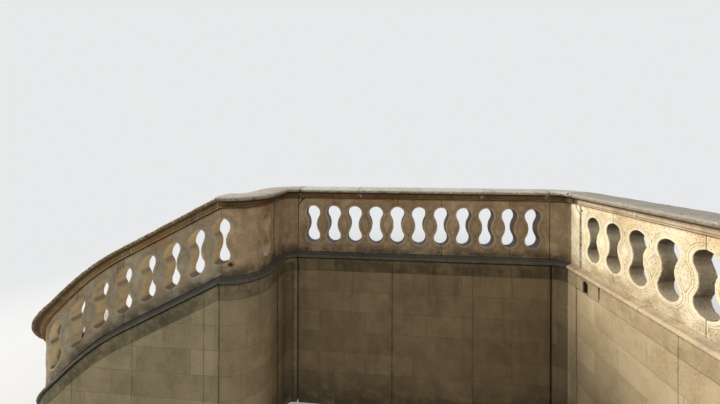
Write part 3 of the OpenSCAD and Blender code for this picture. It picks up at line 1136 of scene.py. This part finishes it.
@dataclass(frozen=True)
class Wear:
    """How a stone's surface has weathered."""

    voxel: float
    softening: int = 3
    waves: float = 0.004
    roughness: float = 0.0025
    wave_size: float = 0.11
    grain_size: float = 0.022
    grades: int = 4
    kept: float = 0.5

    def apply(self, piece: bpy.types.Object, free: Callable[[np.ndarray], np.ndarray]) -> None:
        """Rounds a stone's edges and roughens its faces, always inwards.

        Args:
            piece: The stone, a closed mesh.
            free: Gives the share of wear at points, 0 on beds and joints.
        """
        only(piece)
        apply_modifier(piece, "REMESH", mode="VOXEL", voxel_size=self.voxel, use_smooth_shade=True)
        apply_modifier(piece, "SMOOTH", factor=0.5, iterations=self.softening)
        name = "weathered"
        group = piece.vertex_groups.new(name=name)
        grade = np.round(free(read_points(piece, "co")) * self.grades)
        for step in range(1, self.grades + 1):
            group.add([int(i) for i in np.nonzero(grade == step)[0]], step / self.grades, "REPLACE")
        for size, strength in ((self.wave_size, self.waves), (self.grain_size, self.roughness)):
            texture = bpy.data.textures.new(f"wear_{size}", type="CLOUDS")
            texture.noise_scale = size
            texture.noise_depth = 2
            apply_modifier(piece, "DISPLACE", texture=texture, texture_coords="LOCAL", strength=strength,
                           mid_level=1.0, vertex_group=name)
        piece.vertex_groups.clear()


WEARS: dict[Course, Wear] = {
    Course.WALL: Wear(voxel=0.024, softening=1, waves=0.006, roughness=0.003),
    Course.LEDGE: Wear(voxel=0.009, softening=2, waves=0.003, roughness=0.002),
    Course.PANEL: Wear(voxel=0.008, softening=3, waves=0.003, roughness=0.002),
    Course.COPING: Wear(voxel=0.008, softening=4, waves=0.005, roughness=0.0014)}
DRAIN_WEAR = Wear(voxel=0.009)
PIER_WEAR = Wear(voxel=0.013)


@dataclass(frozen=True)
class Stone:
    """One stone or course of the balustrade, worn from its CAD node."""

    node: str
    course: Course
    run: Run
    aspect: Aspect = Aspect.SHADE
    openings: Sequence[Opening] = ()
    joints: Sequence[float] = ()
    wide: Sequence[Seam] = ()
    # A tone at each end of the stone: a random difference from stone to stone, and on some stones painted
    # sunlight
    shades: tuple[float, float] = (1.0, 1.0)
    turn: float = 0.62
    chips: Sequence[Chip] = ()
    cracks: Sequence[Crack] = ()
    spots: Sequence[IronSpot] = ()
    wear: Optional[Wear] = None

    def build(self, palette: Palette) -> bpy.types.Object:
        """Makes the worn stone and puts it in place of its node.

        Args:
            palette: The finished materials.

        Returns:
            The stone.
        """
        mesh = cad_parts[self.node].data.copy()
        mesh.materials.clear()
        piece = bpy.data.objects.new(f"worn_{self.node}", mesh)
        bpy.context.scene.collection.objects.link(piece)
        only(piece)
        bpy.ops.object.mode_set(mode="EDIT")
        bpy.ops.mesh.select_all(action="SELECT")
        bpy.ops.mesh.remove_doubles(threshold=MERGE)
        bpy.ops.object.mode_set(mode="OBJECT")
        along = self.run.locate(read_points(piece, "co"))[:, 0]
        ends = float(along.min()), float(along.max())
        for chip in self.chips:
            chip.cut(piece, self.run)
        wear = self.wear or WEARS[self.course]
        wear.apply(piece, lambda points: self._free(points, ends))
        store(piece, "worn", np.clip(standing_out(piece) / PROUD, -2.0, 2.0))
        apply_modifier(piece, "DECIMATE", ratio=wear.kept)
        bpy.ops.object.shade_smooth()
        self._mark(piece, ends)
        self._dress(piece, palette)
        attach(piece, "root")
        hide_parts(self.node)
        return piece

    def _free(self, points: np.ndarray, ends: tuple[float, float]) -> np.ndarray:
        """Share of wear at each point: none on the stone's ends, and little on its beds.

        Args:
            points: Points of the mesh.
            ends: First and last place of the stone along its run.

        Returns:
            A share from 0 to 1 for each point.
        """
        along, height = self.run.locate(points)[:, 0], points[:, 2]
        shares = ramp(np.minimum(along - ends[0], ends[1] - along), *OFF_JOINT)
        if self.run.fall is None and self.course is not Course.COPING:
            bed = np.minimum(height - height.min(), height.max() - height)
            shares = np.minimum(shares, ramp(bed, *OFF_BED))
        return shares

    def _mark(self, piece: bpy.types.Object, ends: tuple[float, float]) -> None:
        """Stores each point's place on the run, and what the finish needs to know there.

        Args:
            piece: The worn stone.
            ends: First and last place of the stone along its run.
        """
        place = self._place(read_points(piece, "co"))
        along, level = place[:, 0], place[:, 2]
        count = len(along)
        rims = [np.full(count, 1.0), *(opening.rim(along, level) for opening in self.openings)]
        seams = np.array(self.joints or ends)
        nearest = seams[np.abs(along[:, None] - seams).argmin(axis=1)]
        gap = np.full(count, JOINT)
        for seam in self.wide:
            gap[np.abs(nearest - seam.along) < SEAM_REACH] = seam.half_width
        iron = [np.full(count, NO_IRON), *(spot.measure(along, level) for spot in self.spots)]
        crack = np.full((count, 3), 1.0)
        for path in self.cracks:
            here = path.measure(along, level)
            closer = np.hypot(here[:, 0], here[:, 1]) < np.hypot(crack[:, 0], crack[:, 1])
            crack[closer] = here[closer]
        share = ramp((along - ends[0]) / (ends[1] - ends[0]), self.turn - TURN_WIDTH / 2, TURN_WIDTH)
        first, last = self.shades
        store(piece, "course", place)
        store(piece, "rim", np.maximum(np.min(rims, axis=0), 0.0))
        store(piece, "joint", along - nearest)
        store(piece, "gap", gap)
        store(piece, "iron", np.min(iron, axis=0))
        store(piece, "crack", crack)
        store(piece, "tone", first + (last - first) * share ** 2 * (3 - 2 * share))

    def _place(self, points: np.ndarray) -> np.ndarray:
        """Each point's way along the run, its distance from the middle of the stone and its level."""
        return self.run.locate(points)

    def _dress(self, piece: bpy.types.Object, palette: Palette) -> None:
        """Gives the stone its finish."""
        piece.data.materials.append(palette.finish(self.course, self.aspect))

    def _share_out(self, piece: bpy.types.Object, materials: Sequence[bpy.types.Material], column: int,
                   bounds: Sequence[float]) -> None:
        """Gives each face one of several finishes, by its place on the run.

        Args:
            piece: The worn stone.
            materials: The finishes.
            column: 0 to go by the distance along the run, 2 to go by the level.
            bounds: The places at which one finish gives way to the next.
        """
        for material in materials:
            piece.data.materials.append(material)
        places = self.run.locate(read_points(piece, "co"))[:, column]
        for face in piece.data.polygons:
            middle = places[list(face.vertices)].mean()
            face.material_index = sum(middle > bound for bound in bounds)


@dataclass(frozen=True)
class EndPier(Stone):
    """A square end pier, whose courses each have their own finish."""

    def _place(self, points: np.ndarray) -> np.ndarray:
        """Places points on the run, with the pier's four sides all as far out as those of a bay.

        Args:
            points: Points of the mesh.

        Returns:
            Each point's distance along the run, its distance from the middle and its level.
        """
        place = self.run.locate(points)
        extra = (SIZES.end_pier - SIZES.slab) / 2
        centre = SIZES.coping / 2 + extra + SIZES.end_gap
        out = np.maximum(np.abs(place[:, 1]), np.abs(place[:, 0] - centre)) - extra
        stub = place[:, 0] < centre - extra - SIZES.coping / 2
        place[:, 1] = np.where(stub, place[:, 1], np.maximum(out, 0.0))
        return place

    def _dress(self, piece: bpy.types.Object, palette: Palette) -> None:
        """Gives each course of the pier its finish, by its level."""
        self._share_out(piece, [palette.finish(course, self.aspect) for course in Course], 2,
                        (SIZES.ledge_bed, SIZES.panel_bed, SIZES.coping_bed))


@dataclass(frozen=True)
class CornerStone(Stone):
    """A stone of a corner, in the shaded finish up to a place on its run and the sunlit finish beyond it: a
    painted shadow edge.
    """

    bleached_from: float = LAP + math.radians(70.0) * SIZES.pier_r

    def _dress(self, piece: bpy.types.Object, palette: Palette) -> None:
        """Gives the side with painted shade and the side with painted sunlight their finishes."""
        sides = [palette.finish(self.course, aspect) for aspect in (Aspect.SHADE, Aspect.SUN)]
        self._share_out(piece, sides, 0, (self.bleached_from,))


# The balustrade


# Where the nosing and the slabs' face lie to the left of a run, and where a corner's coping starts on it
NOSE = -SIZES.coping / 2
FACE = -SIZES.slab / 2
CORNER_COPING = 0.14


def shade_of(number: int) -> tuple[float, float]:
    """A slight difference of tone from stone to stone."""
    shade = 1.0 + 0.05 * math.sin(number * 2.3)
    return (shade, shade)


class Part:
    """A part of the balustrade, made stone by stone."""

    def stones(self) -> list[Stone]:
        """The part's stones."""
        raise NotImplementedError

    def build(self, palette: Palette) -> int:
        """Makes every stone of the part.

        Args:
            palette: The finished materials.

        Returns:
            How many triangles they have.
        """
        total = 0
        for stone in self.stones():
            piece = stone.build(palette)
            count = sum(len(face.vertices) - 2 for face in piece.data.polygons)
            total += count
            log.info("%s: %d triangles", piece.name, count)
        return total


@dataclass(frozen=True)
class Bay(Part):
    """A level bay: five slabs under four coping stones, with their damage, and its other stones."""

    name: str
    run: Run
    aspect: Aspect
    gap: float
    chips: dict[str, Sequence[Chip]]
    cracks: dict[str, Sequence[Crack]]
    others: Sequence[Stone]

    def stones(self) -> list[Stone]:
        """Lists the stones.

        Returns:
            The slabs, the coping stones and the others.
        """
        first, last = Seam(0.0, self.gap), Seam(SIZES.bay)
        slabs = [self._stone(f"panel_{i}", Course.PANEL, shade_of(i), (first, last), BAY_OPENINGS)
                 for i in range(1, 6)]
        copings = [self._stone(f"coping_{i}", Course.COPING, shade_of(i + 3), (first,)) for i in range(1, 5)]
        return [*slabs, *copings, *self.others]

    def _stone(self, name: str, course: Course, shades: tuple[float, float], wide: Sequence[Seam],
               openings: Sequence[Opening] = ()) -> Stone:
        """One stone of the bay, with its chips and cracks."""
        return Stone(f"{self.name}_{name}", course, self.run, self.aspect, openings, wide=wide, shades=shades,
                     chips=self.chips.get(name, ()), cracks=self.cracks.get(name, ()))


MIDDLE_BAY = Bay(
    "middle", MIDDLE, Aspect.SHADE, gap=0.005,
    chips={
        "coping_1": (Chip(0.062, NOSE, 1.05, 0.026), Chip(0.068, -0.118, 0.99, 0.018),
                     Chip(0.55, NOSE, 1.09, 0.014)),
        "coping_2": (Chip(1.2, NOSE, 1.045, 0.016), Chip(1.27, -0.115, 0.966, 0.02)),
        "coping_3": (Chip(2.1, NOSE, 1.09, 0.015),),
        "coping_4": (Chip(3.2, NOSE, 1.06, 0.022), Chip(2.75, NOSE, 1.045, 0.014)),
        "panel_1": (Chip(0.075, FACE, 0.955, 0.018), Chip(0.11, FACE, 0.25, 0.016))},
    cracks={
        "panel_1": (Crack(((0.072, 0.97), (0.05, 0.932)), 0.009),
                    Crack(((0.05, 0.932), (0.014, 0.88), (0.0, 0.855)), 0.006)),
        "panel_5": (Crack(((2.6, 0.97), (2.615, 0.91), (2.6, 0.85))),)},
    others=(
        Stone("middle_ledge", Course.LEDGE, MIDDLE, joints=(0.0, 0.885, 1.98, SIZES.bay),
              wide=(Seam(0.885, 0.004), Seam(SIZES.bay))),
        Stone("middle_wall", Course.WALL, MIDDLE, joints=(0.0, 1.276, 2.3, SIZES.bay),
              wide=(Seam(1.276), Seam(SIZES.bay)))))

# The right bay takes the sunlit palette: painted sunlight in its colours
RIGHT_BAY = Bay(
    "right", RIGHT, Aspect.SUN, gap=0.014,
    chips={
        "coping_1": (Chip(-0.05, NOSE, 1.07, 0.024), Chip(0.4, NOSE, 1.045, 0.014)),
        "coping_2": (Chip(1.3, NOSE, 1.05, 0.018),),
        "panel_1": (Chip(0.005, FACE, 0.9, 0.018), Chip(0.62, FACE, 0.262, 0.02)),
        "panel_2": (Chip(0.965, -0.075, 0.5, 0.014), Chip(0.96, -0.075, 0.44, 0.012)),
        "panel_3": (Chip(1.52, FACE, 0.27, 0.022),)},
    cracks={},
    others=(
        Stone("right_ledge", Course.LEDGE, RIGHT, Aspect.SUN, joints=(0.0, 0.875, 1.78, 2.62, SIZES.bay)),
        Stone("right_wall", Course.WALL, RIGHT, Aspect.SUN, joints=(0.0, 1.2, 2.2, SIZES.bay)),
        Stone("drain_stone", Course.WALL, RIGHT, Aspect.SUN, wide=(Seam(0.0),), wear=DRAIN_WEAR),
        EndPier("right_end_pier", Course.PANEL, RIGHT_END, Aspect.SUN, wear=PIER_WEAR)))


@dataclass(frozen=True)
class Flight(Part):
    """The raking bay beside the steps, and the square pier at its foot."""

    ledge_joints: Sequence[float] = (0.2, 1.07, 1.9)
    wall_joints: Sequence[float] = (0.165, 0.99, 1.71)
    ledge_shades: tuple[float, float] = (1.2, 1.35)
    wall_shades: tuple[float, float] = (1.5, 1.55)
    # The last slab grows lighter towards the pier: painted sunlight
    foot_shades: tuple[float, float] = (1.0, 1.6)

    def stones(self) -> list[Stone]:
        """Lists the stones.

        Returns:
            The slabs, the coping stones, the ledge, the wall and the pier.
        """
        slabs = [Stone(f"stair_panel_{i}", Course.PANEL, FLIGHT, Aspect.FLIGHT, STAIR_OPENINGS, turn=0.58,
                       shades=shade_of(i + 5) if i < 5 else self.foot_shades) for i in range(1, 6)]
        copings = [Stone(f"stair_coping_{i}", Course.COPING, FLIGHT, Aspect.FLIGHT, shades=shade_of(i + 1))
                   for i in range(1, 5)]
        return [
            *slabs, *copings,
            Stone("stair_ledge", Course.LEDGE, FLIGHT, joints=self.ledge_joints, shades=self.ledge_shades),
            Stone("stair_wall", Course.WALL, FLIGHT, joints=self.wall_joints, shades=self.wall_shades),
            EndPier("stair_end_pier", Course.PANEL, FLIGHT_END, Aspect.FLIGHT, wear=PIER_WEAR)]


@dataclass(frozen=True)
class LeftCorner(Part):
    """The corner at the head of the flight, with the slit opening in its round block."""

    joint: float = LEFT_PIER_END
    opened: float = 0.012
    end: float = 1.457

    def stones(self) -> list[Stone]:
        """Lists the stones.

        Returns:
            The block, the pier, the coping, the ledge and the wall.
        """
        run, joint, end = LEFT_CORNER, self.joint, self.end
        return [
            Stone("left_corner_block", Course.PANEL, run, Aspect.HEAD, CORNER_OPENINGS,
                  wide=(Seam(joint, self.opened),), spots=(IronSpot(1.366, 0.356, 0.02),)),
            Stone("left_pier", Course.PANEL, run, wide=(Seam(LAP), Seam(joint, self.opened)),
                  shades=(0.84, 0.9), cracks=(Crack(((0.5, 0.31), (0.503, 0.37))),)),
            Stone("left_corner_coping", Course.COPING, run, joints=(CORNER_COPING, joint, end),
                  wide=(Seam(CORNER_COPING),), shades=(0.76, 0.82), chips=(Chip(0.145, -NOSE, 1.05, 0.02),)),
            Stone("left_corner_ledge", Course.LEDGE, run, joints=(joint, end)),
            Stone("left_corner_wall", Course.WALL, run, joints=(0.3, joint, end), wide=(Seam(joint, 0.01),),
                  shades=(1.1, 1.3))]


@dataclass(frozen=True)
class RightCorner(Part):
    """The corner between the middle bay and the right bay."""

    joint: float = RIGHT_PIER_END

    def stones(self) -> list[Stone]:
        """Lists the stones.

        Returns:
            The pier, the coping, the ledge and the wall.
        """
        run, joint = RIGHT_CORNER, self.joint
        split = ((joint - 0.1, 0.97), (joint - 0.06, 0.9), (joint - 0.02, 0.86), (joint, 0.84))
        return [
            # The pier's sunlit end is lighter still: painted sunlight
            CornerStone("right_pier", Course.PANEL, run, wide=(Seam(LAP), Seam(joint, 0.016)),
                        shades=(1.0, 1.12), turn=0.66, cracks=(Crack(split),)),
            Stone("right_pier_coping", Course.COPING, run, joints=(CORNER_COPING, joint - 0.06),
                  wide=(Seam(CORNER_COPING), Seam(joint - 0.06, 0.012)),
                  chips=(Chip(joint - 0.07, NOSE, 1.07, 0.022),)),
            CornerStone("right_corner_ledge", Course.LEDGE, run, wide=(Seam(LAP),)),
            CornerStone("right_corner_wall", Course.WALL, run, wide=(Seam(LAP),), wear=WEARS[Course.LEDGE])]


# The studio


@dataclass(frozen=True)
class Lamp:
    """A soft square lamp, with its power in watts."""

    name: str
    place: Place
    target: Place
    size: float
    power: float
    colour: Place

    def build(self) -> None:
        """Hangs the lamp and points it at its target."""
        data = bpy.data.lights.new(self.name, "AREA")
        data.size = self.size
        data.energy = self.power
        data.color = self.colour
        lamp = bpy.data.objects.new(self.name, data)
        bpy.context.scene.collection.objects.link(lamp)
        lamp.location = self.place
        aim = np.array(self.target) - np.array(self.place)
        flat = math.hypot(aim[0], aim[1])
        lamp.rotation_euler = (math.atan2(flat, -aim[2]), 0.0, math.atan2(-aim[0], aim[1]))


@dataclass(frozen=True)
class Studio:
    """The pale floor, the lamps and the camera."""

    eye: Place = (-0.431, -3.974, 3.287)
    turned_left: float = 5.2
    rolled: float = -0.16
    lens: float = 14.63
    shift: float = -0.0602
    floor_size: float = 160.0
    floor: Paint = (204, 203, 200)
    backdrop: Paint = (232, 233, 234)
    sky: Colour = (0.93, 0.96, 1.0, 1.0)
    sky_light: float = 0.53
    lamps: Sequence[Lamp] = (
        Lamp("key_lamp", (-18.9, 0.6, 10.8), (0.8, -1.2, 1.8), 5.0, 4900.0, (1.0, 0.97, 0.92)),
        Lamp("fill_lamp", (2.0, -8.0, 6.2), (0.0, 0.0, 2.0), 6.0, 140.0, (0.95, 0.97, 1.0)))

    def build(self) -> None:
        """Sets everything up."""
        self._floor()
        self._world()
        for lamp in self.lamps:
            lamp.build()
        self._camera()

    def _floor(self) -> None:
        """A pale plain floor at the lowest ground, which fades into the backdrop far away."""
        bpy.ops.object.select_all(action="DESELECT")
        bpy.ops.mesh.primitive_plane_add(size=self.floor_size, location=(0.0, 0.0, 0.0))
        floor = bpy.context.active_object
        floor.name = "floor"
        material, graph = new_material("pale_floor")
        near = graph.node("BsdfPrincipled", None, {"Base Color": tone(self.floor), "Roughness": 0.9})
        far = graph.node("Emission", None, {"Color": tone(self.backdrop), "Strength": 1.0})
        at = graph.node("TexCoord", output="Object")
        away = graph.node("VectorMath", {"operation": "LENGTH"}, {0: at}, "Value")
        share = (away.step(4.0, 11.0) * 0.75 + 0.25) * graph.node("LightPath", output="Is Camera Ray")
        graph.end("Material", graph.node("MixShader", None, {0: share, 1: near, 2: far}))
        floor.data.materials.append(material)

    def _world(self) -> None:
        """A pale even background, seen and in reflections, over a plain soft light."""
        world = bpy.data.worlds.new("studio")
        bpy.context.scene.world = world
        world.use_nodes = True
        graph = Graph(world.node_tree)
        light = graph.node("Background", None, {"Color": self.sky, "Strength": self.sky_light})
        seen = graph.node("Background", None, {"Color": tone(self.backdrop), "Strength": 1.0})
        rays = graph.node("LightPath", output="Is Camera Ray")
        shown = rays.most(rays.other("Is Glossy Ray")).most(rays.other("Is Transmission Ray"))
        graph.end("World", graph.node("MixShader", None, {0: shown, 1: light, 2: seen}))

    def _camera(self) -> None:
        """The camera at the photograph's place and angle."""
        data = bpy.data.cameras.new("view")
        data.sensor_width = 36.0
        data.lens = self.lens
        data.shift_y = self.shift
        data.clip_end = 500.0
        camera = bpy.data.objects.new("view", data)
        bpy.context.scene.collection.objects.link(camera)
        camera.location = self.eye
        camera.rotation_euler = [math.radians(angle) for angle in (90.0, self.rolled, self.turned_left)]
        bpy.context.scene.camera = camera


def main() -> None:
    """Builds the studio and the balustrade, and logs the triangles of each stone and of them all."""
    logging.basicConfig(level=logging.INFO, format="%(name)s: %(message)s")
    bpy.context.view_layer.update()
    bpy.context.scene.view_settings.view_transform = "Standard"
    Studio().build()
    palette = Palette()
    parts = (MIDDLE_BAY, RIGHT_BAY, Flight(), LeftCorner(), RightCorner())
    log.info("%d triangles in all", sum(part.build(palette) for part in parts))


if __name__ == "__main__":
    main()
